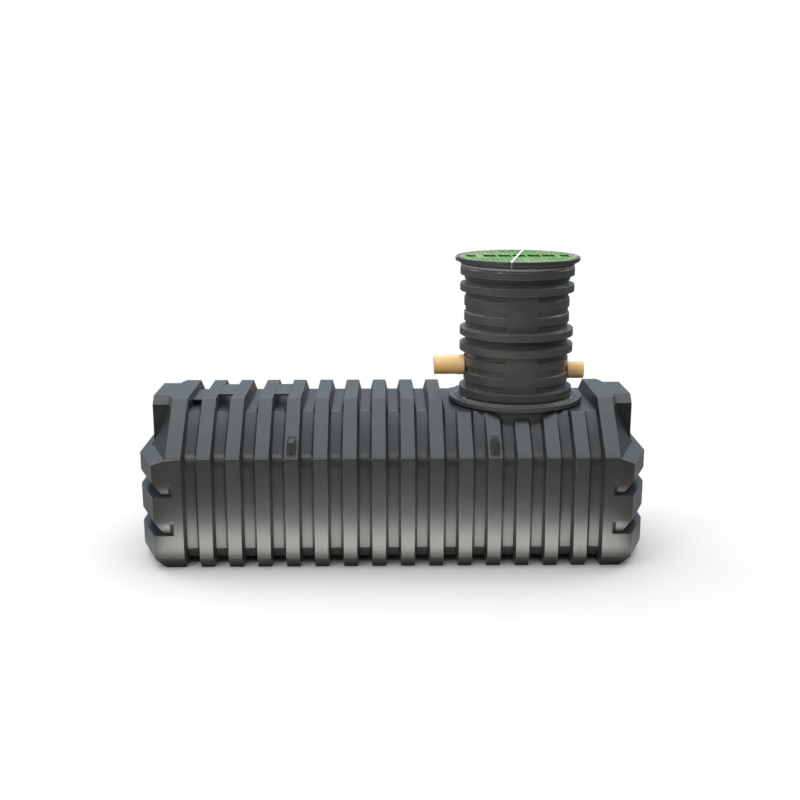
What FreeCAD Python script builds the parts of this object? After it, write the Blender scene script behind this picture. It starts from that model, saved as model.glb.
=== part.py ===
import FreeCAD, Part
import math
import os
import Sketcher

# Underground water tank: a ribbed polyethylene barrel with two end shells, an access riser with
# a green lid over a neck on the deck, and two pipe stubs through the riser wall.
# Millimetres. X runs along the barrel, Y across it, Z up. The origin is on the floor, at the middle.

DIMENSIONS = (
    # the barrel: one hoop and half a groove each side of it, repeated along X
    ("hoop_count", 16),
    ("hoop_pitch", 180),
    ("crest_share", 0.47),
    ("groove_floor_share", 0.3556),
    ("wall", 10),
    # hoop section across the barrel
    ("half_width", 627),
    ("height", 1027),
    ("crease_height", 722),
    ("crest_half_top", 279),
    ("crest_crease_soft", 12),
    ("foot_run", 57),
    ("foot_rise", 75),
    # groove section across the barrel
    ("groove_side_depth", 42),
    ("groove_floor_height", 56),
    ("groove_crease_drop", 16),
    ("groove_crease_soft", 55),
    ("groove_top_spread", 51),
    ("groove_top_depth", 74.5),
    # end shells, seen from above: a flat end and a canted face at each corner
    ("end_margin", 180),
    ("end_flat_half", 310),
    ("cant_run", 131),
    ("end_foot_run", 75),
    # the two grooves that wrap each end: a near-level shelf below and a slanted face above
    ("notch_side_depth", 25),
    ("notch_cant_depth", 65),
    ("notch_end_depth", 45),
    ("notch_height", 92),
    ("notch_shelf_rise", 4),
    ("notch_tip_run", 16),
    ("notch_ramp", 26),
    ("lower_notch_drop", 365),
    ("upper_notch_drop", 115),
    # the ledge round each end and the leaning faces above it
    ("ledge_drop", 37),
    ("ledge_run", 95),
    ("ledge_rise", 35),
    ("hip_setback", 219),
    ("hip_cant", 0.38),
    ("hip_lean", 0.426),
    ("hip_root", 20),
    # the raised block on each end
    ("block_setback", 79),
    ("block_half_width", 235),
    ("block_bevel_run", 52),
    ("block_bevel_drop", 50),
    # bridges between hoop tops
    ("bridge_half_width", 148),
    ("bridge_thickness", 14),
    ("low_bridge_drop", 35),
    # lifting lugs on the sloped sides
    ("lug_width", 32),
    ("lug_rise", 101),
    ("lug_drop", 82),
    # deck, neck and manhole under the riser
    ("riser_hoop", 13),
    ("manhole_step", 67),
    ("neck_setback", 32),
    ("neck_rise", 9.5),
    ("neck_wall", 18),
    ("neck_depth", 200),
    # riser: flange, two ribbed lengths and a top ring
    ("flange_margin", 13),
    ("flange_thickness", 38),
    ("flange_step_run", 37),
    ("flange_step_rise", 7),
    ("riser_setback", 105),
    ("riser_wall", 8),
    ("thick_rib_depth", 37),
    ("thick_rib_height", 46),
    ("thin_rib_depth", 9),
    ("thin_rib_height", 56),
    ("rib_slant", 5),
    ("base_rib_step", 53),
    ("first_thin_step", 100),
    ("second_thin_step", 198),
    ("upper_rib_step", 286),
    ("segment_height", 389),
    ("pad_half_angle", 17),
    ("top_ring_depth", 20),
    ("top_ring_slant", 20),
    ("top_ring_rise", 29),
    # lid frame, lid and strap
    ("frame_depth", 66),
    ("frame_height", 42),
    ("frame_taper_run", 30),
    ("frame_taper_rise", 14),
    ("frame_lip", 20),
    ("frame_seat", 26),
    ("lid_skin", 10),
    ("lid_drop", 4),
    ("lid_clearance", 2),
    ("strap_width", 12),
    ("strap_thickness", 2),
    ("strap_gap", 0.3),
    ("strap_turn", 12),
    # pipe stubs
    ("inlet_radius", 62.5),
    ("outlet_radius", 55),
    ("pipe_wall", 3.2),
    ("inlet_rise", 134),
    ("outlet_rise", 96),
    ("inlet_run", 205),
    ("inlet_collar_run", 53),
    ("outlet_run", 116),
    ("pipe_collar", 2.5),
    ("pipe_inside", 60),
    ("seal_inside", 12),
    ("seal_outside", 8),
    ("seal_thickness", 5),
    ("seal_clearance", 0.3),
)


class Size:
    """A length that carries its number and the sheet formula that it comes from."""

    def __init__(self, number, formula=None):
        self.number = float(number)
        self.formula = repr(self.number) if formula is None else formula

    def joined(self, other, sign, number, swap=False):
        first, second = (other, self) if swap else (self, other)
        return Size(number, f"({first.formula} {sign} {second.formula})")

    def __add__(self, other):
        other = as_size(other)
        return self.joined(other, "+", self.number + other.number)

    def __sub__(self, other):
        other = as_size(other)
        return self.joined(other, "-", self.number - other.number)

    def __mul__(self, other):
        other = as_size(other)
        return self.joined(other, "*", self.number * other.number)

    def __truediv__(self, other):
        other = as_size(other)
        return self.joined(other, "/", self.number / other.number)

    def __rsub__(self, other):
        return as_size(other) - self

    def __neg__(self):
        return as_size(0) - self

    __radd__ = __add__
    __rmul__ = __mul__


def as_size(value):
    return value if isinstance(value, Size) else Size(value)


def root(size):
    return Size(math.sqrt(size.number), f"sqrt({size.formula})")


doc = FreeCAD.newDocument("water_tank")
sheet = doc.addObject("Spreadsheet::Sheet", "sizes")
for row, (alias, number) in enumerate(DIMENSIONS, start=1):
    sheet.set(f"A{row}", alias)
    sheet.set(f"B{row}", str(number))
    sheet.setAlias(f"B{row}", alias)
doc.recompute()
D = {alias: Size(number, f"sizes.{alias}") for alias, number in DIMENSIONS}
ZERO = Size(0)
sub_parts = []


def keep(thing, label):
    """Name a finished piece after its node and put it on the list of sub-parts."""
    thing.Label = label
    sub_parts.append(thing)
    return thing


def place(thing, x=ZERO, y=ZERO, z=ZERO, turn=0):
    """Set a piece down at x, y, z, turned about the vertical, and tie it to the sheet."""
    base = FreeCAD.Vector(x.number, y.number, z.number)
    thing.Placement = FreeCAD.Placement(base, FreeCAD.Rotation(FreeCAD.Vector(0, 0, 1), turn))
    for axis, size in (("x", x), ("y", y), ("z", z)):
        thing.setExpression(f"Placement.Base.{axis}", size.formula)


def new_body(name):
    return doc.addObject("PartDesign::Body", name)


def new_sketch(body, role, name, offset=ZERO):
    """Sketch on one of the body's own origin planes, moved along its normal."""
    plane = next(item for item in body.Origin.OriginFeatures if item.Role == role)
    sketch = body.newObject("Sketcher::SketchObject", name)
    sketch.AttachmentSupport = [(plane, "")]
    sketch.MapMode = "FlatFace"
    base = FreeCAD.Vector(0, 0, offset.number)
    sketch.AttachmentOffset = FreeCAD.Placement(base, FreeCAD.Rotation())
    sketch.setExpression(".AttachmentOffset.Base.z", offset.formula)
    return sketch


def tie(sketch, kind, size, *where):
    """Add one dimension to a sketch and bind it to the sheet."""
    index = sketch.addConstraint(Sketcher.Constraint(kind, *where, size.number))
    sketch.setExpression(f"Constraints[{index}]", size.formula)


def draw_polygon(sketch, corners):
    """Closed outline through the corners, with each corner dimensioned from the origin."""
    points = [FreeCAD.Vector(u.number, v.number, 0) for u, v in corners]
    following = points[1:] + points[:1]
    lines = [sketch.addGeometry(Part.LineSegment(a, b)) for a, b in zip(points, following)]
    for line, previous, (u, v) in zip(lines, lines[-1:] + lines[:-1], corners):
        sketch.addConstraint(Sketcher.Constraint("Coincident", previous, 2, line, 1))
        tie(sketch, "DistanceX", u, -1, 1, line, 1)
        tie(sketch, "DistanceY", v, -1, 1, line, 1)


def draw_circle(sketch, radius, u=ZERO, v=ZERO):
    centre = FreeCAD.Vector(u.number, v.number, 0)
    ring = sketch.addGeometry(Part.Circle(centre, FreeCAD.Vector(0, 0, 1), radius.number))
    tie(sketch, "Radius", radius, ring)
    tie(sketch, "DistanceX", u, -1, 1, ring, 3)
    tie(sketch, "DistanceY", v, -1, 1, ring, 3)


def mirrored(half):
    """Close a half outline, drawn on the positive side, with its mirror image."""
    return half + [(-u, v) for u, v in reversed(half)]


def loft(body, kind, name, sections):
    """Straight-ruled loft through a list of sketches."""
    feature = body.newObject(f"PartDesign::{kind}Loft", name)
    feature.Profile = sections[0]
    feature.Sections = sections[1:]
    feature.Ruled = True
    return feature


def pad(body, name, sketch, length, both_ways=False):
    feature = body.newObject("PartDesign::Pad", name)
    feature.Profile = sketch
    feature.SideType = "Symmetric" if both_ways else "One side"
    feature.Length = length.number
    feature.setExpression("Length", length.formula)
    return feature


def revolve(body, name, sketch, axis="V_Axis"):
    """Turn a sketch a full turn round its own upright or level axis."""
    feature = body.newObject("PartDesign::Revolution", name)
    feature.Profile = sketch
    feature.ReferenceAxis = (sketch, [axis])
    feature.Angle = 360
    return feature


def mitre(run, rise):
    """Tangent of half the angle whose tangent is run over rise."""
    return (root(run * run + rise * rise) - rise) / run


# Section across the barrel

def hull_section(side, floor, crease, soft, half_top, top, inset=None):
    """Outline of a hoop or a groove; with an inset, the same outline moved in by the wall."""
    run, rise = side - half_top, top - crease
    lean = root(run * run + rise * rise)
    foot_run, foot_rise = D["foot_run"], D["foot_rise"]
    foot_in, foot_up = side - foot_run, floor + foot_rise
    if inset is not None:
        foot_in = foot_in - inset * mitre(foot_rise, foot_run)
        foot_up = foot_up + inset * mitre(foot_run, foot_rise)
        crease = crease - inset * mitre(run, rise)
        half_top = half_top - inset * mitre(rise, run)
        side, floor, top = side - inset, floor + inset, top - inset
    half = [
        (foot_in, floor),
        (side, foot_up),
        (side, crease - soft),
        (side - soft * run / lean, crease + soft * rise / lean),
        (half_top, top),
    ]
    return mirrored(half)


def crest_section(inset=None, top=None):
    """Section at a hoop's crest; a lower top cuts the hoop down to a flat deck."""
    slope_run = D["half_width"] - D["crest_half_top"]
    slope_rise = D["height"] - D["crease_height"]
    half_top = D["crest_half_top"]
    if top is None:
        top = D["height"]
    else:
        half_top = half_top + (D["height"] - top) * slope_run / slope_rise
    return hull_section(D["half_width"], ZERO, D["crease_height"], D["crest_crease_soft"],
                        half_top, top, inset)


GROOVE_TOP = D["height"] - D["groove_top_depth"]


def groove_section(inset=None):
    return hull_section(D["half_width"] - D["groove_side_depth"], D["groove_floor_height"],
                        D["crease_height"] - D["groove_crease_drop"], D["groove_crease_soft"],
                        D["crest_half_top"] + D["groove_top_spread"], GROOVE_TOP, inset)


HALF_PITCH = D["hoop_pitch"] / 2
CREST_EDGE = HALF_PITCH * D["crest_share"]
HALF_FLOOR = HALF_PITCH * D["groove_floor_share"]
GROOVE_EDGE = HALF_PITCH - HALF_FLOOR
FLANK_RUN = GROOVE_EDGE - CREST_EDGE
FLANK_SHIFT = D["wall"] * mitre(D["groove_side_depth"], FLANK_RUN)


def hoop_place(number):
    """X of the middle of a hoop, counted from the left."""
    return (number - (D["hoop_count"] + 1) / 2) * D["hoop_pitch"]


def section_loft(body, kind, stations):
    """Loft along X through (place, outline) stations."""
    sections = []
    for index, (x, outline) in enumerate(stations):
        sketch = new_sketch(body, "YZ_Plane", f"{body.Name}_{kind}_{index}", x)
        draw_polygon(sketch, outline)
        sections.append(sketch)
    return loft(body, kind, f"{body.Name}_{kind}", sections)


def ring_stations(inset=None, top=None):
    """Groove, hoop and groove along one pitch of the barrel."""
    shift = ZERO if inset is None else FLANK_SHIFT
    crest, groove = crest_section(inset, top), groove_section(inset)
    return [
        (-HALF_PITCH, groove),
        (shift - GROOVE_EDGE, groove),
        (shift - CREST_EDGE, crest),
        (CREST_EDGE - shift, crest),
        (GROOVE_EDGE - shift, groove),
        (HALF_PITCH, groove),
    ]


RISER_X = hoop_place(D["riser_hoop"])
DECK_REACH = 2
MANHOLE_REACH = 1
FLANGE_RADIUS = D["hoop_pitch"] * DECK_REACH + HALF_PITCH - D["flange_margin"]
RISER_RADIUS = FLANGE_RADIUS - D["riser_setback"]
RISER_INNER = RISER_RADIUS - D["riser_wall"]
MANHOLE_RADIUS = RISER_RADIUS - D["manhole_step"]


def barrel_ring(number):
    """One hoop of the barrel: a ribbed shell, open at both sides of its pitch."""
    beside_riser = abs(number - D["riser_hoop"].number)
    top = GROOVE_TOP if beside_riser <= DECK_REACH else None
    body = new_body(f"barrel_ring_{number:02d}")
    section_loft(body, "Additive", ring_stations(None, top))
    section_loft(body, "Subtractive", ring_stations(D["wall"], top))
    if beside_riser <= MANHOLE_REACH:
        sketch = new_sketch(body, "XY_Plane", f"{body.Name}_manhole", D["crease_height"])
        draw_circle(sketch, MANHOLE_RADIUS, RISER_X - hoop_place(number))
        hole = body.newObject("PartDesign::Pocket", f"{body.Name}_opening")
        hole.Profile = sketch
        hole.Reversed = True
        hole.Type = "ThroughAll"
    place(body, hoop_place(number))
    return keep(body, body.Name)


# End shells

END_REACH = HALF_PITCH * D["hoop_count"] + D["end_margin"]
CANT_START = END_REACH - D["cant_run"]
CANT_RISE = D["half_width"] - D["end_flat_half"]
CANT_LENGTH = root(D["cant_run"] * D["cant_run"] + CANT_RISE * CANT_RISE)
INNER_X = HALF_PITCH * (D["hoop_count"] - 2)
NOTCH_FACE = D["notch_height"] - D["notch_shelf_rise"]
LEDGE_HEIGHT = D["crease_height"] - D["ledge_drop"]


def both_sides(half):
    """Close a half outline, seen from above, with its mirror image across the barrel."""
    return half + [(u, -v) for u, v in reversed(half)]


def end_corners(side, cant, end):
    """Corners of the canted face seen from above, each face moved in by its own amount."""
    run, rise = D["cant_run"], CANT_RISE
    return [
        (CANT_START + (side * run - cant * CANT_LENGTH) / rise, D["half_width"] - side),
        (END_REACH - end, D["end_flat_half"] + (end * rise - cant * CANT_LENGTH) / run),
    ]


def notch_reach(face, inset):
    """How far in a notch goes on the side, the cant or the end, the wall behind it included."""
    depth = D[f"notch_{face}_depth"]
    return depth + inset / mitre(NOTCH_FACE, depth)


def end_outline(inset, side, cant, end):
    """The end seen from above; its side is moved in from the tips of the notches onwards."""
    turn = mitre(D["notch_side_depth"], D["notch_ramp"])
    tip = hoop_place(D["hoop_count"]) + D["notch_tip_run"] - inset * turn
    ramp = D["notch_ramp"] * (notch_reach("side", inset) - inset) / D["notch_side_depth"]
    half = [
        (INNER_X, D["half_width"] - inset),
        (tip, D["half_width"] - inset),
        (tip + ramp, D["half_width"] - side),
    ]
    return both_sides(half + end_corners(side, cant, end))


def end_levels(inset):
    """Outlines of the end from the floor to its ledge, each with its height."""
    foot, rise = D["end_foot_run"], D["foot_rise"]
    foot_in = foot + inset * mitre(rise, foot)
    plain = end_outline(inset, inset, inset, inset)
    notched = end_outline(inset, notch_reach("side", inset), notch_reach("cant", inset),
                          notch_reach("end", inset))
    levels = [(inset, end_outline(inset, inset, foot_in, foot_in)),
              (rise + inset * mitre(foot, rise), plain)]
    depth, shelf = D["notch_cant_depth"], D["notch_shelf_rise"]
    for drop in (D["lower_notch_drop"], D["upper_notch_drop"]):
        lip = LEDGE_HEIGHT - drop
        bottom = lip - D["notch_height"]
        levels.append((bottom - inset * mitre(depth, shelf), plain))
        levels.append((bottom + shelf - inset, notched))
        levels.append((lip + inset * mitre(depth, NOTCH_FACE), plain))
    levels.append((LEDGE_HEIGHT - inset * mitre(D["ledge_run"], D["ledge_rise"]), plain))
    return levels


def ledge_levels(inset):
    """Outlines of the sloped ledge; the cant and the end draw in, the sides stay."""
    low = LEDGE_HEIGHT - inset * mitre(D["ledge_run"], D["ledge_rise"])
    start = [(INNER_X, D["half_width"] - inset)]
    levels = []
    for rise, front in ((ZERO, inset), (D["ledge_rise"], inset + D["ledge_run"])):
        levels.append((low + rise, both_sides(start + end_corners(inset, front, front))))
    return levels


def hip_levels(inset):
    """Outlines of the leaning faces, from below the ledge to the top of the hoops."""
    half_block = D["block_half_width"] - D["hip_root"]
    levels = []
    for height in (LEDGE_HEIGHT - D["hip_root"], D["height"]):
        lean = D["hip_lean"] * (height - D["crease_height"])
        reach = END_REACH - D["hip_setback"] - lean - inset
        inner = reach + D["hip_cant"] * (D["half_width"] - half_block)
        half = [(INNER_X, D["half_width"]), (reach, D["half_width"]), (inner, half_block)]
        levels.append((height, both_sides(half)))
    return levels


def end_form(name, inset):
    """Solid form of one end: the hoop section crossed with the end seen from above."""
    profile = new_body(f"{name}_profile")
    shift = ZERO if inset is ZERO else FLANK_SHIFT
    wall = None if inset is ZERO else inset
    groove, crest = groove_section(wall), crest_section(wall)
    stations = [
        (INNER_X, groove),
        (INNER_X + HALF_FLOOR + shift, groove),
        (INNER_X + HALF_PITCH - CREST_EDGE + shift, crest),
        (END_REACH + D["wall"], crest),
    ]
    section_loft(profile, "Additive", stations)

    plan = new_body(f"{name}_plan")
    stacks = (("body", end_levels(inset)), ("ledge", ledge_levels(inset)),
              ("hips", hip_levels(inset)))
    for part_name, levels in stacks:
        sections = []
        for index, (height, outline) in enumerate(levels):
            sketch = new_sketch(plan, "XY_Plane", f"{plan.Name}_{part_name}_{index}", height)
            draw_polygon(sketch, outline)
            sections.append(sketch)
        loft(plan, "Additive", f"{plan.Name}_{part_name}", sections)

    block = new_sketch(plan, "YZ_Plane", f"{plan.Name}_block", INNER_X)
    half_block = D["block_half_width"] - inset
    half = [
        (half_block, LEDGE_HEIGHT - inset),
        (half_block, D["height"] - D["block_bevel_drop"] - inset),
        (half_block - D["block_bevel_run"], D["height"] - inset),
    ]
    draw_polygon(block, mirrored(half))
    block_length = END_REACH - D["block_setback"] - inset - INNER_X
    pad(plan, f"{plan.Name}_raised", block, block_length)

    form = doc.addObject("Part::Common", f"{name}_form")
    form.Base = profile
    form.Tool = plan
    return form


def end_shell(label, turn):
    """One end of the barrel, its last hoop included, hollow and open towards the middle."""
    shell = doc.addObject("Part::Cut", f"{label}_shell")
    shell.Base = end_form(f"{label}_outer", ZERO)
    shell.Tool = end_form(f"{label}_inner", D["wall"])
    place(shell, turn=turn)
    return keep(shell, label)


# Bridges between hoop tops

def flank_gap(drop):
    """Half the gap between two hoops, a drop below their tops."""
    return HALF_PITCH - CREST_EDGE - FLANK_RUN * drop / D["groove_top_depth"]


def hoop_bridge(label, left_hoop, drop):
    """Flat plate that spans one groove between the flanks of two hoops."""
    body = new_body(label)
    sketch = new_sketch(body, "XZ_Plane", f"{label}_section")
    top = D["height"] - drop
    low = D["bridge_thickness"] + drop
    draw_polygon(sketch, [
        (flank_gap(low), D["height"] - low),
        (flank_gap(drop), top),
        (-flank_gap(drop), top),
        (-flank_gap(low), D["height"] - low),
    ])
    pad(body, f"{label}_plate", sketch, D["bridge_half_width"] * 2, both_ways=True)
    place(body, hoop_place(left_hoop) + HALF_PITCH)
    return keep(body, label)


# Lifting lugs

def slope_half_width(height):
    """Half width of the hoops at a height on their sloped sides."""
    run = D["half_width"] - D["crest_half_top"]
    rise = D["height"] - D["crease_height"]
    return D["crest_half_top"] + (D["height"] - height) * run / rise


def lifting_lug(label, hoop, side):
    """Wedge with a level top and an upright face, seated on a sloped side."""
    body = new_body(label)
    sketch = new_sketch(body, "YZ_Plane", f"{label}_section")
    high = D["crease_height"] + D["lug_rise"]
    low = high - D["lug_drop"]
    face = slope_half_width(low)
    draw_polygon(sketch, [(face * side, low), (face * side, high),
                          (slope_half_width(high) * side, high)])
    pad(body, f"{label}_wedge", sketch, D["lug_width"], both_ways=True)
    place(body, hoop_place(hoop))
    return keep(body, label)


# Neck on the deck

NECK_TOP = GROOVE_TOP + D["neck_rise"]


def neck():
    """Round collar that carries the riser, trimmed to the deck, hoops and grooves below it."""
    ring = new_body("neck_ring")
    sketch = new_sketch(ring, "XZ_Plane", "neck_ring_section")
    outer = FLANGE_RADIUS - D["neck_setback"]
    inner, low = outer - D["neck_wall"], NECK_TOP - D["neck_depth"]
    draw_polygon(sketch, [(inner, low), (outer, low), (outer, NECK_TOP),
                          (MANHOLE_RADIUS, NECK_TOP), (MANHOLE_RADIUS, GROOVE_TOP),
                          (inner, GROOVE_TOP)])
    revolve(ring, "neck_ring_turned", sketch)
    place(ring, RISER_X)

    barrel = new_body("neck_seat")
    stations = []
    first, last = int(D["riser_hoop"].number) - DECK_REACH, int(D["riser_hoop"].number) + DECK_REACH
    for number in range(first, last + 1):
        ring_places = ring_stations(None, GROOVE_TOP)
        if number > first:
            ring_places = ring_places[1:]
        stations += [(hoop_place(number) + x, outline) for x, outline in ring_places]
    section_loft(barrel, "Additive", stations)

    collar = doc.addObject("Part::Cut", "neck_collar_cut")
    collar.Base = ring
    collar.Tool = barrel
    return keep(collar, "neck_collar")


# Riser

RIB_GAP_HALF = (D["segment_height"] - D["upper_rib_step"] - D["thick_rib_height"]) / 2
FLANGE_TOP = NECK_TOP + D["flange_thickness"]
BASE_RIB_TOP = FLANGE_TOP + D["base_rib_step"]
TOP_RIB_TOP = BASE_RIB_TOP + D["segment_height"] * 2
TOP_RING_TOP = TOP_RIB_TOP + D["top_ring_rise"]
THICK_RADIUS = RISER_RADIUS + D["thick_rib_depth"]
THIN_RADIUS = RISER_RADIUS + D["thin_rib_depth"]
SEAL_REACH = RISER_RADIUS + D["seal_outside"]
INLET_HEIGHT = BASE_RIB_TOP + D["inlet_rise"]
OUTLET_HEIGHT = BASE_RIB_TOP + D["outlet_rise"]


def ribbed_wall(bottom, top, ribs):
    """Outline of a corrugated wall of even thickness: ribs as (top, height, radius)."""
    wall, slant, body = D["riser_wall"], D["rib_slant"], RISER_RADIUS
    outer, inner = [(body, bottom)], [(body - wall, bottom)]
    for high, height, radius in ribs:
        low = high - height
        outer += [(body, low - slant), (radius, low), (radius, high), (body, high + slant)]
        inner += [(body - wall, low + wall - slant), (radius - wall, low + wall),
                  (radius - wall, high - wall), (body - wall, high - wall + slant)]
    outer.append((body, top))
    inner.append((body - wall, top))
    return outer + inner[::-1]


def turned_piece(label, outline):
    """Solid of revolution on the riser's axis, not yet kept, so that it can be cut."""
    body = new_body(label)
    sketch = new_sketch(body, "XZ_Plane", f"{label}_section")
    draw_polygon(sketch, outline)
    revolve(body, f"{label}_turned", sketch)
    place(body, RISER_X)
    return body


def add_pads(body, low, high):
    """Smooth upright pads at the front and the back, flush with the thin ribs."""
    sketch = new_sketch(body, "YZ_Plane", f"{body.Name}_pad_section")
    inner = RISER_RADIUS - D["riser_wall"] / 2
    draw_polygon(sketch, [(inner, low), (THIN_RADIUS, low), (THIN_RADIUS, high), (inner, high)])
    first = revolve(body, f"{body.Name}_pad", sketch)
    first.Midplane = True
    first.Angle = D["pad_half_angle"].number * 2
    first.setExpression("Angle", (D["pad_half_angle"] * 2).formula)
    around = body.newObject("PartDesign::PolarPattern", f"{body.Name}_pads")
    around.Originals = [first]
    axis = next(item for item in body.Origin.OriginFeatures if item.Role == "Z_Axis")
    around.Axis = (axis, [""])
    around.Angle = 360
    around.Occurrences = 2
    body.Tip = around


def pipe_hole(body, name, radius, height, to_right):
    """Round opening through one side of the riser wall."""
    sketch = new_sketch(body, "YZ_Plane", f"{name}_sketch")
    draw_circle(sketch, radius, ZERO, height)
    hole = body.newObject("PartDesign::Pocket", name)
    hole.Profile = sketch
    hole.Type = "ThroughAll"
    hole.Reversed = to_right


def riser_length(label, base_top, bottom, top):
    """One length of riser: a thick rib, two thin ribs and a thick rib."""
    thick = (D["thick_rib_height"], THICK_RADIUS)
    thin = (D["thin_rib_height"], THIN_RADIUS)
    ribs = [
        (base_top, *thick),
        (base_top + D["first_thin_step"], *thin),
        (base_top + D["second_thin_step"], *thin),
        (base_top + D["upper_rib_step"], *thick),
    ]
    body = turned_piece(label, ribbed_wall(bottom, top, ribs))
    add_pads(body, base_top, base_top + D["upper_rib_step"] - D["thick_rib_height"])
    return keep(body, label)


def riser():
    joint = BASE_RIB_TOP + D["upper_rib_step"] + RIB_GAP_HALF
    second_joint = joint + D["segment_height"]
    step_radius = FLANGE_RADIUS - D["flange_step_run"]
    step_low = FLANGE_TOP - D["flange_step_rise"]
    flange = turned_piece("riser_flange", [
        (RISER_INNER, NECK_TOP),
        (FLANGE_RADIUS, NECK_TOP),
        (FLANGE_RADIUS, step_low),
        (step_radius, step_low),
        (step_radius, FLANGE_TOP),
        (RISER_INNER, FLANGE_TOP),
    ])
    keep(flange, "riser_flange")

    lower = riser_length("riser_lower", BASE_RIB_TOP, FLANGE_TOP, joint)
    gap = D["pipe_collar"] + D["seal_thickness"] + D["seal_clearance"]
    pipe_hole(lower, "inlet_hole", D["inlet_radius"] + gap, INLET_HEIGHT, False)
    pipe_hole(lower, "outlet_hole", D["outlet_radius"] + gap, OUTLET_HEIGHT, True)
    riser_length("riser_upper", BASE_RIB_TOP + D["segment_height"], joint, second_joint)

    rib_low = TOP_RIB_TOP - D["thick_rib_height"]
    neck_out = RISER_RADIUS + D["top_ring_depth"]
    top_ring = turned_piece("riser_top_ring", [
        (RISER_INNER, second_joint),
        (THIN_RADIUS, second_joint),
        (THIN_RADIUS, rib_low - D["rib_slant"]),
        (THICK_RADIUS, rib_low),
        (THICK_RADIUS, TOP_RIB_TOP),
        (neck_out, TOP_RIB_TOP + D["top_ring_slant"]),
        (neck_out, TOP_RING_TOP),
        (RISER_INNER, TOP_RING_TOP),
    ])
    keep(top_ring, "riser_top_ring")


# Lid frame, lid and strap

FRAME_RADIUS = RISER_RADIUS + D["frame_depth"]
FRAME_TOP = TOP_RING_TOP + D["frame_height"]
SEAT_HEIGHT = FRAME_TOP - D["frame_seat"]


def lid_and_frame():
    recess = FRAME_RADIUS - D["frame_lip"]
    frame = turned_piece("lid_frame", [
        (RISER_INNER, TOP_RING_TOP),
        (FRAME_RADIUS - D["frame_taper_run"], TOP_RING_TOP),
        (FRAME_RADIUS, TOP_RING_TOP + D["frame_taper_rise"]),
        (FRAME_RADIUS, FRAME_TOP),
        (recess, FRAME_TOP),
        (recess, SEAT_HEIGHT),
        (RISER_INNER, SEAT_HEIGHT),
    ])
    keep(frame, "lid_frame")

    edge, skin = recess - D["lid_clearance"], D["lid_skin"]
    lid_top = FRAME_TOP - D["lid_drop"]
    lid = turned_piece("lid", [
        (ZERO, lid_top - skin),
        (RISER_INNER, lid_top - skin),
        (RISER_INNER, SEAT_HEIGHT),
        (edge, SEAT_HEIGHT),
        (edge, lid_top),
        (ZERO, lid_top),
    ])
    keep(lid, "lid")


def lid_strap():
    """Band over the lid, from one side of the frame to the other."""
    body = new_body("lid_strap")
    sketch = new_sketch(body, "YZ_Plane", "lid_strap_section")
    inner = FRAME_RADIUS + D["strap_gap"]
    outer = inner + D["strap_thickness"]
    draw_polygon(sketch, mirrored([(inner, FRAME_TOP), (inner, TOP_RING_TOP),
                                   (outer, TOP_RING_TOP),
                                   (outer, FRAME_TOP + D["strap_thickness"])]))
    pad(body, "lid_strap_band", sketch, D["strap_width"], both_ways=True)
    place(body, RISER_X, turn=-D["strap_turn"].number)
    keep(body, "lid_strap")


# Pipe stubs

def turned_along(label, outline, height):
    """Solid of revolution about a level axis along X, through the riser's middle."""
    body = new_body(label)
    sketch = new_sketch(body, "XZ_Plane", f"{label}_section")
    draw_polygon(sketch, outline)
    revolve(body, f"{label}_turned", sketch, "H_Axis")
    place(body, RISER_X, z=height)
    return keep(body, label)


def pipe_stub(label, side, radius, reach, collar_reach, height):
    """Pipe through the riser wall in a rubber seal, with a collar behind its free end."""
    inner, collar = radius - D["pipe_wall"], radius + D["pipe_collar"]
    inside = RISER_INNER - D["pipe_inside"]
    turned_along(f"{label}_pipe", [
        (inside * side, inner),
        (reach * side, inner),
        (reach * side, radius),
        (collar_reach * side, radius),
        (collar_reach * side, collar),
        (inside * side, collar),
    ], height)
    seal_in, seal_out = RISER_INNER - D["seal_inside"], SEAL_REACH
    seat, rim = collar + D["seal_clearance"], collar + D["seal_thickness"]
    turned_along(f"{label}_seal", [
        (seal_in * side, seat),
        (seal_out * side, seat),
        (seal_out * side, rim),
        (seal_in * side, rim),
    ], height)


first_ring, last_ring = 2, int(D["hoop_count"].number) - 1
end_shell("end_left", 180)
for number in range(first_ring, last_ring + 1):
    barrel_ring(number)
end_shell("end_right", 0)
hoop_bridge("low_bridge", 1, D["low_bridge_drop"])
hoop_bridge("top_bridge_left", 2, ZERO)
hoop_bridge("top_bridge_right", 4, ZERO)
for hoop, where in ((5, "left"), (12, "right")):
    lifting_lug(f"lug_front_{where}", hoop, -1)
    lifting_lug(f"lug_back_{where}", hoop, 1)
neck()
riser()
lid_and_frame()
lid_strap()
pipe_stub("inlet", -1, D["inlet_radius"], RISER_RADIUS + D["inlet_run"],
          RISER_RADIUS + D["inlet_collar_run"], INLET_HEIGHT)
pipe_stub("outlet", 1, D["outlet_radius"], RISER_RADIUS + D["outlet_run"], SEAL_REACH,
          OUTLET_HEIGHT)

doc.recompute()
for item in doc.Objects:
    if "Invalid" in item.State or "Error" in item.State:
        raise RuntimeError(f"{item.Name} failed: {item.State}")
for piece in sub_parts:
    if piece.Shape.isNull() or not piece.Shape.isValid():
        raise RuntimeError(f"{piece.Label} has no valid shape")

os.makedirs("parts", exist_ok=True)
for piece in sub_parts:
    piece.Shape.exportStep(f"parts/{piece.Label}.step")
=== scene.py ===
import math

import bmesh
import bpy
from mathutils import Matrix, Vector


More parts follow.
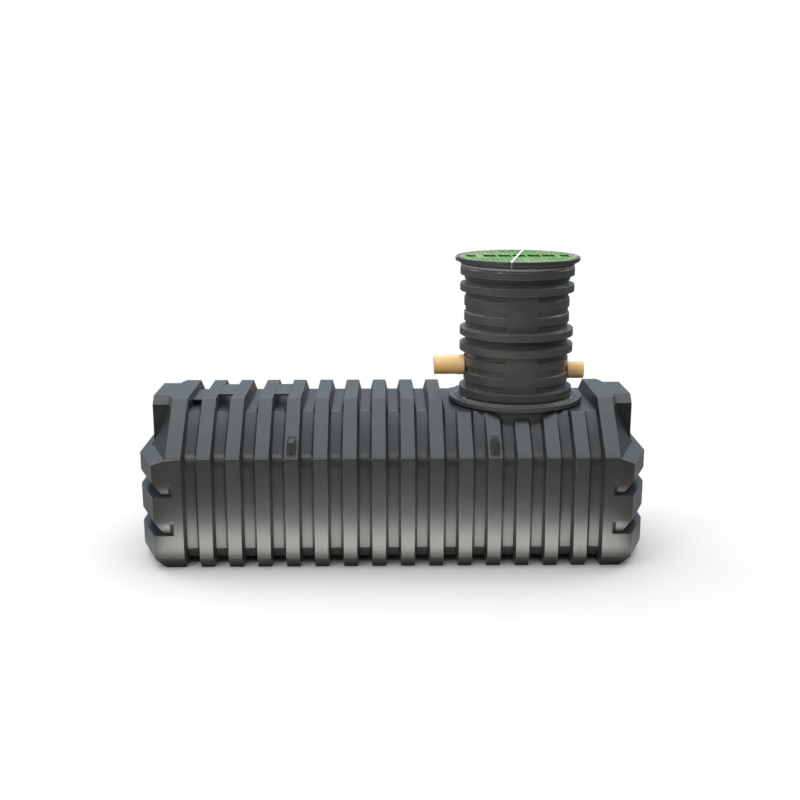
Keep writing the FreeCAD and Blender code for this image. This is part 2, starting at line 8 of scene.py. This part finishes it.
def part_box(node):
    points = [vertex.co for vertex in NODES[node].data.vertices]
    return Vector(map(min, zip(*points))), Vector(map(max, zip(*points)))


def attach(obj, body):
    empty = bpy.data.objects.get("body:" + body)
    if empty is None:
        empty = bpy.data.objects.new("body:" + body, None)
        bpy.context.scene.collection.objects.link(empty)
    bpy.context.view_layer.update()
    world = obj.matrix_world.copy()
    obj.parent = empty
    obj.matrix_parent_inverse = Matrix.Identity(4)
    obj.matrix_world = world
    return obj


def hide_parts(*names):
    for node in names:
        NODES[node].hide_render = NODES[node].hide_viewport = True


# Looks of the underground water tank: rounded moulded edges, plastics, rubber, lid slots and ribs,
# strap, clips and screws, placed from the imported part. Metres, in the part's own frame.

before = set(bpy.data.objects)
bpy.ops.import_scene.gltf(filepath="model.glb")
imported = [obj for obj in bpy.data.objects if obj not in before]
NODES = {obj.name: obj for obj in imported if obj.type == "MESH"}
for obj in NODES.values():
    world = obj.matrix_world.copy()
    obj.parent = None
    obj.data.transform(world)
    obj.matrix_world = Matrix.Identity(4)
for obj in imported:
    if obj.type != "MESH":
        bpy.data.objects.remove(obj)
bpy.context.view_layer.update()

# Photograph's viewpoint
CAMERA_PLACE = (-0.0603, -7.187, 2.630)
CAMERA_DOWN = math.radians(13.18)
CAMERA_RIGHT = math.radians(0.873)
CAMERA_LENS = 50
CAMERA_REACH = 200

# Edge radii of the mouldings, on edges that turn more than SHARP
SHELL_EDGE = 0.006
BRIDGE_EDGE = 0.004
RISER_EDGE = 0.006
TRIM_EDGE = 0.0015
PIPE_EDGE = 0.0009
STRAP_EDGE = 0.00045
SHARP = math.radians(28)

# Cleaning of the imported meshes: the reach of one point, the slack of one plane and the turn of
# one flat face. The notches of the end shells are finely divided, so a point reaches further there.
SAME_POINT = 1e-5
SAME_NOTCH_POINT = 0.0022
ON_PLANE = 1e-4
FLAT = math.radians(1.2)


def radius_of(node):
    low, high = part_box(node)
    return (high.x - low.x) / 2


def top_of(node):
    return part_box(node)[1].z


# Middle of the riser, and the tops and radii that its details sit on
RISER_X = sum(corner.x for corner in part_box("lid")) / 2
LID_TOP = top_of("lid")
LID_RADIUS = radius_of("lid")
FRAME_TOP = top_of("lid_frame")
FRAME_RADIUS = radius_of("lid_frame")
STRAP_TOP = top_of("lid_strap")
NECK_TOP = top_of("riser_top_ring")
FLANGE_TOP = top_of("riser_flange")

# Pockets sunk round the lifting lugs
POCKET_DEPTH = 0.005
POCKET_WIDTH = 0.056
POCKET_MARGIN = 0.016
POCKET_CORNER = 0.015
SEAT_MARGIN = 0.0005

# Row of slots across the lid, along X from the riser's middle
SLOT_DEPTH = 0.009
SLOT_ROW = (-0.045, 0.092)
SLOT_CENTRE = 0.012
SLOT_PITCH = 0.095
SLOT_LENGTH = 0.084
END_SLOTS = ((-0.333, -0.266), (0.277, 0.340))

# Raised bars and rim of the lid
GRIP_PITCH = 0.030
GRIP_LENGTH = 0.022
GRIP_WIDTH = 0.006
GRIP_HEIGHT = 0.0022
GRIP_EDGE = 0.0009
GRIP_RIM_MARGIN = 0.04
GRIP_SLOT_MARGIN = 0.02
RIM_INSET = 0.003
RIM_WIDTH = 0.015
RIM_HEIGHT = 0.003
RIM_EDGE = 0.0012
LID_SINK = 0.001

# Pale gasket under the lid frame: its light grey is a painted highlight for the lit band there
HIGHLIGHT_GASKET_RADIUS = radius_of("riser_top_ring") - 0.0025
HIGHLIGHT_GASKET_WIDTH = 0.0165
HIGHLIGHT_GASKET_HEIGHT = 0.019
HIGHLIGHT_GASKET_GAP = 0.002
HIGHLIGHT_GASKET_EDGE = 0.006

# Wire clips: how wide they are, and how far they go down the frame's side and in over its rim
WIRE = 0.0022
WIRE_GAP = 0.001
CLIP_HALF_WIDTH = 0.030
CLIP_DROP = 0.030
CLIP_REACH = 0.031

# Screws round the riser's flange
SCREW_RING = radius_of("riser_flange") - 0.049
SCREW_ANGLES = (-27, 3, 33, 147, 177, 207)
SCREW_EDGE = 0.0007
WASHER_RADIUS = 0.011
WASHER_HEIGHT = 0.0016
HEAD_RADIUS = 0.0075
HEAD_TOP = 0.0068

# Lights: name, place, aimed at, width, depth, watts, colour. The skies are large and soft, the key
# is small, and the floor strip is the bright floor that the front of the tank mirrors.
WHITE = (1, 1, 1)
WARM = (1.0, 0.97, 0.94)
COOL = (0.94, 0.97, 1.0)
LIGHTS = (
    ("overhead", (0, 0.4, 5.0), (0, 0.4, 0), 7.0, 3.8, 160, (0.93, 0.97, 1.0)),
    ("front_sky_left", (-1.9, -4.6, 5.0), (-1.2, -0.4, 0.7), 3.0, 1.2, 58, WARM),
    ("front_sky_right", (1.5, -4.6, 5.0), (1.0, -0.4, 0.7), 3.6, 3.0, 56, WARM),
    ("back_sky", (0, 4.6, 5.4), (0, 0.4, 0.8), 6.0, 1.6, 150, COOL),
    ("left_sky", (-5.2, 1.6, 4.6), (0, 0, 0.8), 3.2, 2.6, 150, COOL),
    ("right_sky", (5.2, 1.6, 4.6), (0, 0, 0.8), 3.2, 2.6, 140, (0.96, 0.98, 1.0)),
    ("left_strip", (-5.2, -3.0, 2.4), (0, -0.4, 0.8), 0.8, 2.4, 18, WHITE),
    ("key", (-3.6, -5.2, 3.6), (0, -0.5, 0.7), 0.45, 0.45, 90, WHITE),
    ("floor_strip", (0, -1.11, 0.015), (0, -1.11, 2), 3.1, 0.44, 41, (1.0, 0.985, 0.95)),
)

# Floor: half its side, and its middle in front of the tank
FLOOR_HALF = 60
FLOOR_Y = -0.6


# Placing pieces

def link(name, data):
    thing = bpy.data.objects.new(name, data)
    bpy.context.scene.collection.objects.link(thing)
    return thing


def finish_piece(piece, material):
    piece.data.materials.clear()
    piece.data.materials.append(material)
    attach(piece, "root")


def mesh_from(name, bm):
    mesh = bpy.data.meshes.new(name)
    bm.to_mesh(mesh)
    bm.free()
    return mesh


def mesh_piece(name, bm, material):
    """Turn a bmesh into a piece of the object, with its material and material slot."""
    piece = link(name, mesh_from(name, bm))
    finish_piece(piece, material)
    return piece


def smooth(mesh):
    for face in mesh.polygons:
        face.use_smooth = True


def flatten(piece):
    """Shade large faces flat and leave the turn to the small faces between them."""
    normals = piece.modifiers.new("flat_faces", "WEIGHTED_NORMAL")
    normals.weight = 80
    normals.keep_sharp = False


def round_edges(piece, width, segments=3):
    """Moulded radii on every sharp edge, with large faces left flat."""
    bevel = piece.modifiers.new("radii", "BEVEL")
    bevel.width = width
    bevel.segments = segments
    bevel.limit_method = "ANGLE"
    bevel.angle_limit = SHARP
    bevel.use_clamp_overlap = True
    bevel.harden_normals = False
    flatten(piece)


def cut_out(piece, forms):
    """Cut closed forms out of a piece that already has its radii."""
    piece.modifiers.remove(piece.modifiers["flat_faces"])
    cutters = [link("cutter", mesh_from("cutter", bm)) for bm in forms]
    for cutter in cutters:
        cut = piece.modifiers.new("cut", "BOOLEAN")
        cut.operation = "DIFFERENCE"
        cut.solver = "EXACT"
        cut.object = cutter
    graph = bpy.context.evaluated_depsgraph_get()
    carved = bpy.data.meshes.new_from_object(piece.evaluated_get(graph))
    piece.modifiers.clear()
    piece.data = carved
    for cutter in cutters:
        bpy.data.objects.remove(cutter)
    smooth(carved)
    flatten(piece)


# Small forms

def circle(radius, steps=120):
    """Points of a circle round the riser's middle."""
    return [(RISER_X + radius * math.cos(a), radius * math.sin(a))
            for a in (2 * math.pi * k / steps for k in range(steps))]


def rounded_loop(width, length, radius, steps=5):
    """Points of a rounded rectangle round the origin."""
    points = []
    for quarter, (side, end) in enumerate(((1, 1), (-1, 1), (-1, -1), (1, -1))):
        for step in range(steps):
            angle = math.radians(90 * (quarter + step / (steps - 1)))
            points.append((side * (width / 2 - radius) + radius * math.cos(angle),
                           end * (length / 2 - radius) + radius * math.sin(angle)))
    return points


def sleeve(bm, rows):
    """Faces between rows of points, each row closed on itself."""
    for first, second in zip(rows, rows[1:]):
        for i in range(len(first)):
            j = (i + 1) % len(first)
            bm.faces.new((first[i], first[j], second[j], second[i]))


def ring_form(outer, inner, low, high):
    """Closed ring between two loops of the same number of points."""
    bm = bmesh.new()
    rows = [[bm.verts.new((x, y, z)) for x, y in loop]
            for loop, z in ((outer, low), (outer, high), (inner, high), (inner, low))]
    sleeve(bm, rows + rows[:1])
    bmesh.ops.recalc_face_normals(bm, faces=bm.faces)
    return bm


def block_form(low, high, bm=None):
    """Box between two corners, added to a bmesh where one is given."""
    bm = bm or bmesh.new()
    size = [b - a for a, b in zip(low, high)]
    middle = [(a + b) / 2 for a, b in zip(low, high)]
    place = Matrix.Translation(middle) @ Matrix.Diagonal((*size, 1))
    bmesh.ops.create_cube(bm, size=1, matrix=place)
    return bm


def wire_form(path, radius, sides=8):
    """Round wire along a path of points."""
    bm = bmesh.new()
    loop = [(radius * math.cos(a), radius * math.sin(a))
            for a in (2 * math.pi * k / sides for k in range(sides))]
    rings = []
    for index, point in enumerate(path):
        before, after = path[max(index - 1, 0)], path[min(index + 1, len(path) - 1)]
        turn = (after - before).to_track_quat("Z", "Y")
        rings.append([bm.verts.new(point + turn @ Vector((x, y, 0))) for x, y in loop])
    sleeve(bm, rings)
    bm.faces.new(rings[0][::-1])
    bm.faces.new(rings[-1])
    bmesh.ops.recalc_face_normals(bm, faces=bm.faces)
    return bm


def clean_copy(node, open_at, merge):
    """Mesh of a node with its flat faces joined up, left open on the planes X = open_at."""
    bm = bmesh.new()
    bm.from_mesh(NODES[node].data)
    bmesh.ops.remove_doubles(bm, verts=bm.verts, dist=merge)
    hidden = [face for face in bm.faces
              if any(all(abs(v.co.x - x) < ON_PLANE for v in face.verts) for x in open_at)]
    bmesh.ops.delete(bm, geom=hidden, context="FACES")
    bmesh.ops.dissolve_limit(bm, angle_limit=FLAT, verts=bm.verts, edges=bm.edges,
                             delimit={"NORMAL"})
    mesh = mesh_from(f"{node}_skin", bm)
    smooth(mesh)
    return mesh


def moulded(node, material, width, open_at=(), merge=SAME_POINT):
    """Stand-in for a node: the same form with moulded radii."""
    piece = link(f"{node}_moulded", clean_copy(node, open_at, merge))
    finish_piece(piece, material)
    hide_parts(node)
    round_edges(piece, width)
    return piece


# Materials

class Nodes:
    """A node tree filled by short calls."""

    def __init__(self, tree):
        self.tree = tree

    def add(self, kind, **settings):
        node = self.tree.nodes.new(kind)
        for key, value in settings.items():
            setattr(node, key, value)
        return node

    def join(self, output, socket):
        self.tree.links.new(output, socket)

    def feed(self, socket, value):
        """Set a number or a colour on a socket, or join an output to it."""
        if isinstance(value, (int, float)):
            socket.default_value = value
        elif isinstance(value, tuple):
            socket.default_value = (*value, 1)
        else:
            self.join(value, socket)

    def ramp(self, value, low, high, start, end):
        node = self.add("ShaderNodeMapRange", interpolation_type="SMOOTHSTEP")
        self.feed(node.inputs["Value"], value)
        node.inputs["From Min"].default_value = low
        node.inputs["From Max"].default_value = high
        node.inputs["To Min"].default_value = start
        node.inputs["To Max"].default_value = end
        return node.outputs["Result"]

    def maths(self, operation, first, second):
        node = self.add("ShaderNodeMath", operation=operation)
        self.feed(node.inputs[0], first)
        self.feed(node.inputs[1], second)
        return node.outputs[0]

    def mix(self, factor, first, second):
        """Blend two colours."""
        node = self.add("ShaderNodeMix", data_type="RGBA")
        self.feed(node.inputs["Factor"], factor)
        self.feed(node.inputs[6], first)
        self.feed(node.inputs[7], second)
        return node.outputs[2]

    def split(self, vector):
        node = self.add("ShaderNodeSeparateXYZ")
        self.join(vector, node.inputs[0])
        return node.outputs

    def camera_ray(self):
        return self.add("ShaderNodeLightPath").outputs["Is Camera Ray"]


class Shader(Nodes):
    """A procedural material, textured in the object's own metres."""

    def __init__(self, name):
        self.material = bpy.data.materials.new(name)
        self.material.use_nodes = True
        super().__init__(self.material.node_tree)
        self.bsdf = self.tree.nodes["Principled BSDF"]
        self.place = self.add("ShaderNodeTexCoord").outputs["Object"]

    def stretched(self, x, y, z):
        node = self.add("ShaderNodeVectorMath", operation="MULTIPLY")
        self.join(self.place, node.inputs[0])
        node.inputs[1].default_value = (x, y, z)
        return node.outputs[0]

    def distance(self, stretch):
        """Distance from the object's origin, with X stretched."""
        node = self.add("ShaderNodeVectorMath", operation="LENGTH")
        self.join(self.stretched(stretch, 1, 1), node.inputs[0])
        return node.outputs["Value"]

    def noise(self, scale, detail=3, rough=0.5, where=None):
        node = self.add("ShaderNodeTexNoise")
        self.join(where or self.place, node.inputs["Vector"])
        node.inputs["Scale"].default_value = scale
        node.inputs["Detail"].default_value = detail
        node.inputs["Roughness"].default_value = rough
        return node.outputs["Fac"]

    def bump(self, height, distance, strength=1.0, under=None):
        node = self.add("ShaderNodeBump")
        node.inputs["Strength"].default_value = strength
        node.inputs["Distance"].default_value = distance
        self.join(height, node.inputs["Height"])
        if under is not None:
            self.join(under, node.inputs["Normal"])
        return node.outputs["Normal"]

    def openness(self, reach):
        """From 0 deep in a hollow to 1 out in the open."""
        node = self.add("ShaderNodeAmbientOcclusion")
        node.samples = 8
        node.inputs["Distance"].default_value = reach
        return node.outputs["AO"]

    def upward(self):
        """How far a surface faces up, from -1 to 1."""
        return self.split(self.add("ShaderNodeNewGeometry").outputs["Normal"])["Z"]

    def height(self):
        """Height over the floor in metres."""
        return self.split(self.place)["Z"]

    def colour(self, value):
        self.feed(self.bsdf.inputs["Base Color"], value)

    def roughness(self, value):
        self.feed(self.bsdf.inputs["Roughness"], value)

    def specular(self, value):
        self.feed(self.bsdf.inputs["Specular IOR Level"], value)

    def normal(self, value):
        self.join(value, self.bsdf.inputs["Normal"])


def polyethylene(name, dark, light, dust, gloss):
    """Moulded black polyethylene: faint flow marks, orange peel, dust on what faces up, and painted
    shade in its hollows.
    """
    s = Shader(name)
    cloud = s.noise(3.2, 4, 0.55)
    flow = s.noise(1.0, 3, 0.6, s.stretched(38, 38, 1.6))
    tone = s.mix(s.ramp(cloud, 0.35, 0.65, 0, 1), dark, light)
    settled = s.maths("MULTIPLY", s.ramp(s.upward(), 0.2, 0.95, 0, 1),
                      s.ramp(s.noise(14, 5, 0.65), 0.3, 0.75, 0.35, 1))
    s.colour(s.mix(settled, tone, dust))
    shine = s.maths("ADD", s.ramp(flow, 0.3, 0.7, gloss - 0.004, gloss + 0.008),
                    s.maths("MULTIPLY", settled, 0.06))
    under = s.ramp(s.upward(), -0.5, -0.12, 0.35, 0)
    s.roughness(s.maths("ADD", shine, under))
    # Painted shade: reflections turned down deep in hollows and creases, darkening them beyond the shade
    # the lamps cast.
    s.specular(s.ramp(s.openness(0.07), 0.3, 1.0, 0.12, 0.5))
    peel = s.bump(s.noise(420, 2, 0.5), 0.00012)
    s.normal(s.bump(s.noise(5, 2, 0.4), 0.0012, 0.5, peel))
    s.bsdf.inputs["IOR"].default_value = 1.5
    return s.material


def lid_plastic():
    """Green polypropylene, weathered pale on its top, with a deeper green and painted shade below the
    top, in its slots.
    """
    s = Shader("green_lid")
    worn = s.ramp(s.noise(26, 6, 0.7), 0.35, 0.68, 0, 1)
    patch = s.ramp(s.noise(4.5, 3, 0.6), 0.4, 0.62, 0, 1)
    fresh = s.mix(worn, (0.030, 0.140, 0.010), (0.085, 0.210, 0.038))
    faded = s.mix(worn, (0.080, 0.150, 0.036), (0.19, 0.27, 0.12))
    pale = s.mix(patch, fresh, faded)
    # Below the top, the slots and sides keep the unweathered green, painted darker than fresh plastic as
    # painted shade, with weaker reflections.
    raised = s.ramp(s.height(), LID_TOP - 0.004, LID_TOP - 0.0015, 0, 1)
    s.colour(s.mix(raised, (0.008, 0.085, 0.003), pale))
    s.roughness(s.ramp(worn, 0, 1, 0.42, 0.6))
    s.specular(s.ramp(raised, 0, 1, 0.06, 0.25))
    s.normal(s.bump(s.noise(260, 3, 0.6), 0.0004))
    return s.material


def pipe_plastic():
    """Orange-brown drain pipe: extrusion lines along X, a little dust, satin gloss."""
    s = Shader("drain_pipe")
    lines = s.noise(1.0, 3, 0.6, s.stretched(1.2, 160, 160))
    tone = s.mix(s.ramp(lines, 0.3, 0.7, 0, 1), (0.68, 0.415, 0.15), (0.75, 0.485, 0.19))
    cloud = s.ramp(s.noise(11, 4, 0.6), 0.4, 0.75, 0, 0.5)
    s.colour(s.mix(cloud, tone, (0.72, 0.53, 0.27)))
    s.roughness(s.ramp(lines, 0.3, 0.7, 0.3, 0.42))
    s.normal(s.bump(lines, 0.00015))
    return s.material


def rubber(name, scale, dark, light, smoothest, roughest, relief):
    """Moulded rubber with a fine grain in its tone, gloss and surface."""
    s = Shader(name)
    grain = s.noise(scale, 3, 0.6)
    s.colour(s.mix(s.ramp(grain, 0.3, 0.7, 0, 1), dark, light))
    s.roughness(s.ramp(grain, 0.3, 0.7, smoothest, roughest))
    s.normal(s.bump(grain, relief))
    return s.material


def strap_webbing():
    """White polyester band with fine ribs across its length and grey ends down the rim."""
    s = Shader("strap_webbing")
    weave = s.add("ShaderNodeTexWave", wave_type="BANDS", bands_direction="Y")
    s.join(s.place, weave.inputs["Vector"])
    weave.inputs["Scale"].default_value = 160
    weave.inputs["Distortion"].default_value = 0.6
    fibre = weave.outputs["Fac"]
    white = s.mix(fibre, (0.66, 0.67, 0.66), (0.86, 0.87, 0.86))
    grey = s.mix(fibre, (0.07, 0.075, 0.072), (0.11, 0.115, 0.11))
    s.colour(s.mix(s.ramp(s.height(), STRAP_TOP - 0.006, STRAP_TOP - 0.003, 0, 1), grey, white))
    s.roughness(s.ramp(fibre, 0, 1, 0.6, 0.75))
    s.normal(s.bump(fibre, 0.0003))
    s.bsdf.inputs["Sheen Weight"].default_value = 0.2
    return s.material


def zinc():
    """Galvanised steel: a pale spangle with satin reflections."""
    s = Shader("galvanised_steel")
    spangle = s.add("ShaderNodeTexVoronoi")
    s.join(s.place, spangle.inputs["Vector"])
    spangle.inputs["Scale"].default_value = 220
    grey = spangle.outputs["Distance"]
    s.colour(s.mix(s.ramp(grey, 0.1, 0.6, 0, 1), (0.62, 0.63, 0.65), (0.42, 0.43, 0.45)))
    s.roughness(s.ramp(grey, 0.1, 0.6, 0.28, 0.45))
    s.bsdf.inputs["Metallic"].default_value = 1.0
    return s.material


SHELL = polyethylene("tank_polyethylene", (0.016, 0.0156, 0.0148), (0.021, 0.0204, 0.0192),
                     (0.027, 0.032, 0.038), 0.26)
RISER = polyethylene("riser_polyethylene", (0.038, 0.0368, 0.034), (0.046, 0.0445, 0.0412),
                     (0.054, 0.055, 0.056), 0.28)
FRAME = polyethylene("frame_polyethylene", (0.024, 0.0227, 0.0232), (0.030, 0.0286, 0.0292),
                     (0.038, 0.038, 0.039), 0.30)
LID = lid_plastic()
PIPE = pipe_plastic()
RUBBER = rubber("seal_rubber", 180, (0.010, 0.010, 0.010), (0.022, 0.021, 0.020), 0.55, 0.72, 0.0003)
# The gasket's light grey rubber is a painted highlight, for the lit band under the lid frame.
HIGHLIGHT_GASKET = rubber("gasket_rubber_painted_highlight", 90, (0.13, 0.135, 0.135), (0.18, 0.185, 0.185), 0.4, 0.5, 0.0002)
WEBBING = strap_webbing()
STEEL = zinc()


# Tank and riser

def dress_shell():
    """Rings and ends meet in the grooves, so each copy is left open where it joins the next."""
    for node in sorted(NODES):
        if node.startswith("barrel_ring"):
            low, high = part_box(node)
            moulded(node, SHELL, SHELL_EDGE, (low.x, high.x))
    joints = {"end_left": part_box("end_left")[1].x, "end_right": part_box("end_right")[0].x}
    for node, joint in joints.items():
        moulded(node, SHELL, SHELL_EDGE, (joint,), SAME_NOTCH_POINT)
    for node in ("low_bridge", "top_bridge_left", "top_bridge_right"):
        moulded(node, SHELL, BRIDGE_EDGE)
    for side in ("front_left", "front_right", "back_left", "back_right"):
        moulded(f"lug_{side}", SHELL, BRIDGE_EDGE)


def dress_riser():
    moulded("neck_collar", RISER, TRIM_EDGE)
    for node in ("riser_flange", "riser_lower", "riser_upper", "riser_top_ring"):
        moulded(node, RISER, RISER_EDGE)
    moulded("lid_frame", FRAME, RISER_EDGE)


def dress_pipes():
    for node in ("inlet_pipe", "outlet_pipe"):
        moulded(node, PIPE, PIPE_EDGE)
    for node in ("inlet_seal", "outlet_seal"):
        moulded(node, RUBBER, TRIM_EDGE)


def pocket_form(lug):
    """Rounded ring that leaves the lug's own seat standing in the middle."""
    low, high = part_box(lug)
    size = high - low
    front = -1 if low.y < 0 else 1
    along = Vector((0, -front * size.y, size.z)).normalized()
    out = Vector((0, front * size.z, size.y)).normalized()
    seat = math.hypot(size.y, size.z)
    bm = ring_form(rounded_loop(POCKET_WIDTH, seat + 2 * POCKET_MARGIN, POCKET_CORNER),
                   rounded_loop(size.x + 2 * SEAT_MARGIN, seat + 2 * SEAT_MARGIN, SEAT_MARGIN),
                   -POCKET_DEPTH, 4 * POCKET_DEPTH)
    turn = Matrix((along.cross(out), along, out)).transposed().to_4x4()
    bm.transform(Matrix.Translation((low + high) / 2) @ turn)
    return bm


def lug_pockets():
    """Pockets round the lugs, sunk in the sloped faces of the hoops that carry them."""
    for side, ring in (("left", "barrel_ring_05"), ("right", "barrel_ring_12")):
        cut_out(bpy.data.objects[f"{ring}_moulded"],
                [pocket_form(f"lug_front_{side}"), pocket_form(f"lug_back_{side}")])


# Lid and what lies round it

def slotted_lid():
    """Lid with five slots alike across its middle and a shorter one at each end of the row."""
    middles = [SLOT_CENTRE + SLOT_PITCH * step for step in (-2, -1, 0, 1, 2)]
    slots = [(middle - SLOT_LENGTH / 2, middle + SLOT_LENGTH / 2) for middle in middles]
    slots += END_SLOTS
    front, back = SLOT_ROW
    cut_out(moulded("lid", LID, TRIM_EDGE),
            [block_form((RISER_X + start, front, LID_TOP - SLOT_DEPTH),
                        (RISER_X + end, back, LID_TOP + SLOT_DEPTH)) for start, end in slots])


def grip_bars():
    """Raised bars in two crossed directions, as on a chequered cover, clear of slots and rim."""
    bm = bmesh.new()
    front, back = SLOT_ROW
    count = int(LID_RADIUS / GRIP_PITCH) + 1
    for row in range(-count, count + 1):
        for column in range(-count, count + 1):
            x, y = column * GRIP_PITCH, row * GRIP_PITCH
            in_slots = front - GRIP_SLOT_MARGIN < y < back + GRIP_SLOT_MARGIN
            if math.hypot(x, y) > LID_RADIUS - GRIP_RIM_MARGIN or in_slots:
                continue
            half_x, half_y = GRIP_WIDTH / 2, GRIP_LENGTH / 2
            if (row + column) % 2:
                half_x, half_y = half_y, half_x
            block_form((RISER_X + x - half_x, y - half_y, LID_TOP - LID_SINK),
                       (RISER_X + x + half_x, y + half_y, LID_TOP + GRIP_HEIGHT), bm)
    round_edges(mesh_piece("lid_grip_bars", bm, LID), GRIP_EDGE, 1)


def round_ring(name, radius, width, low, high, material, edge, segments):
    """Ring round the riser's middle, with its edges rounded."""
    form = ring_form(circle(radius), circle(radius - width), low, high)
    ring = mesh_piece(name, form, material)
    smooth(ring.data)
    round_edges(ring, edge, segments)


def lid_rim():
    """Rim of the lid, a little proud of its middle."""
    round_ring("lid_rim", LID_RADIUS - RIM_INSET, RIM_WIDTH, LID_TOP - LID_SINK, LID_TOP + RIM_HEIGHT,
               LID, RIM_EDGE, 2)


def frame_gasket_painted_highlight():
    """Pale gasket between the riser's neck and the lid frame; its light grey is a painted highlight for
    the lit band there.
    """
    top = NECK_TOP - HIGHLIGHT_GASKET_GAP
    round_ring("frame_gasket_painted_highlight", HIGHLIGHT_GASKET_RADIUS, HIGHLIGHT_GASKET_WIDTH, top - HIGHLIGHT_GASKET_HEIGHT, top,
               HIGHLIGHT_GASKET, HIGHLIGHT_GASKET_EDGE, 4)


def wire_clip(name, side):
    """Bent wire loop: up the outside of the lid frame, over its rim and back down."""
    out = FRAME_RADIUS + WIRE + WIRE_GAP
    top = FRAME_TOP - WIRE
    leg = [(out - 0.004, CLIP_HALF_WIDTH, FRAME_TOP - CLIP_DROP),
           (out + 0.003, CLIP_HALF_WIDTH, top - 0.012),
           (out - 0.002, CLIP_HALF_WIDTH - 0.002, top - 0.001),
           (out - CLIP_REACH + 0.005, CLIP_HALF_WIDTH - 0.012, top)]
    tip = [(out - CLIP_REACH, 0, top)]
    corners = [(x, -y, z) for x, y, z in leg] + tip + leg[::-1]
    path = [Vector((RISER_X + side * x, y, z)) for x, y, z in corners]
    smooth(mesh_piece(name, wire_form(path, WIRE), STEEL).data)


def wire_clips():
    wire_clip("wire_clip_left", -1)
    wire_clip("wire_clip_right", 1)


# Screws round the flange of the riser

def screw_form(place):
    """Hexagon head on a round washer."""
    bm = bmesh.new()
    for sides, radius, low, high in ((24, WASHER_RADIUS, 0, WASHER_HEIGHT),
                                     (6, HEAD_RADIUS, WASHER_HEIGHT, HEAD_TOP)):
        middle = place + Vector((0, 0, (low + high) / 2))
        bmesh.ops.create_cone(bm, cap_ends=True, segments=sides, radius1=radius, radius2=radius,
                              depth=high - low, matrix=Matrix.Translation(middle))
    return bm


def flange_screws():
    for number, degrees in enumerate(SCREW_ANGLES, start=1):
        angle = math.radians(degrees)
        seat = Vector((RISER_X + SCREW_RING * math.cos(angle), SCREW_RING * math.sin(angle), FLANGE_TOP))
        screw = mesh_piece(f"flange_screw_{number:02d}", screw_form(seat), STEEL)
        round_edges(screw, SCREW_EDGE, 2)


# Camera, floor and light

def set_camera():
    camera = link("camera", bpy.data.cameras.new("camera"))
    camera.location = CAMERA_PLACE
    camera.rotation_euler = (math.pi / 2 - CAMERA_DOWN, 0, -CAMERA_RIGHT)
    camera.data.lens = CAMERA_LENS
    camera.data.clip_end = CAMERA_REACH
    bpy.context.scene.camera = camera


def floor_material():
    """Pale floor that turns white away from the object, and darker out of the camera's sight."""
    s = Shader("studio_floor")
    seen = s.camera_ray()
    away = s.ramp(s.distance(0.72), 0.6, 1.7, 0, 1)
    other = s.mix(away, (0.80, 0.79, 0.77), (0.17, 0.168, 0.164))
    s.colour(s.mix(seen, other, (0.60, 0.582, 0.566)))
    s.roughness(0.9)
    s.specular(0.0)
    white = s.add("ShaderNodeEmission")
    blend = s.add("ShaderNodeMixShader")
    far = s.ramp(s.distance(0.5), 0.75, 2.5, 0, 1)
    s.join(s.maths("MULTIPLY", far, seen), blend.inputs[0])
    s.join(s.bsdf.outputs[0], blend.inputs[1])
    s.join(white.outputs[0], blend.inputs[2])
    s.join(blend.outputs[0], s.tree.nodes["Material Output"].inputs["Surface"])
    return s.material


def lay_floor():
    bm = bmesh.new()
    bmesh.ops.create_grid(bm, x_segments=1, y_segments=1, size=FLOOR_HALF)
    floor = link("floor", mesh_from("floor", bm))
    floor.location.y = FLOOR_Y
    floor.data.materials.append(floor_material())


def softbox(name, place, target, width, depth, power, colour):
    """Rectangular light aimed from its place at a target."""
    lamp = bpy.data.lights.new(name, "AREA")
    lamp.shape = "RECTANGLE"
    lamp.size, lamp.size_y = width, depth
    lamp.energy = power
    lamp.color = colour
    box = link(name, lamp)
    box.location = place
    box.rotation_euler = (Vector(target) - Vector(place)).to_track_quat("-Z", "Y").to_euler()
    box.visible_camera = False


def studio_world():
    """Sky that is bluer behind the tank and brightest overhead, and plain white to the camera."""
    world = bpy.data.worlds.new("studio")
    bpy.context.scene.world = world
    world.use_nodes = True
    s = Nodes(world.node_tree)
    around = s.split(s.add("ShaderNodeTexCoord").outputs["Generated"])
    behind = s.ramp(around["Y"], -0.3, 0.6, 0, 1)
    horizon = s.mix(behind, (0.17, 0.17, 0.17), (0.29, 0.38, 0.46))
    sky = s.mix(s.ramp(around["Z"], 0.0, 0.85, 0, 1), horizon, (0.9, 0.95, 1.0))
    s.join(s.mix(s.camera_ray(), sky, WHITE), s.tree.nodes["Background"].inputs["Color"])


dress_shell()
dress_riser()
dress_pipes()
lug_pockets()
slotted_lid()
grip_bars()
lid_rim()
frame_gasket_painted_highlight()
moulded("lid_strap", WEBBING, STRAP_EDGE)
wire_clips()
flange_screws()

set_camera()
lay_floor()
for light in LIGHTS:
    softbox(*light)
studio_world()
bpy.context.scene.view_settings.view_transform = "Standard"
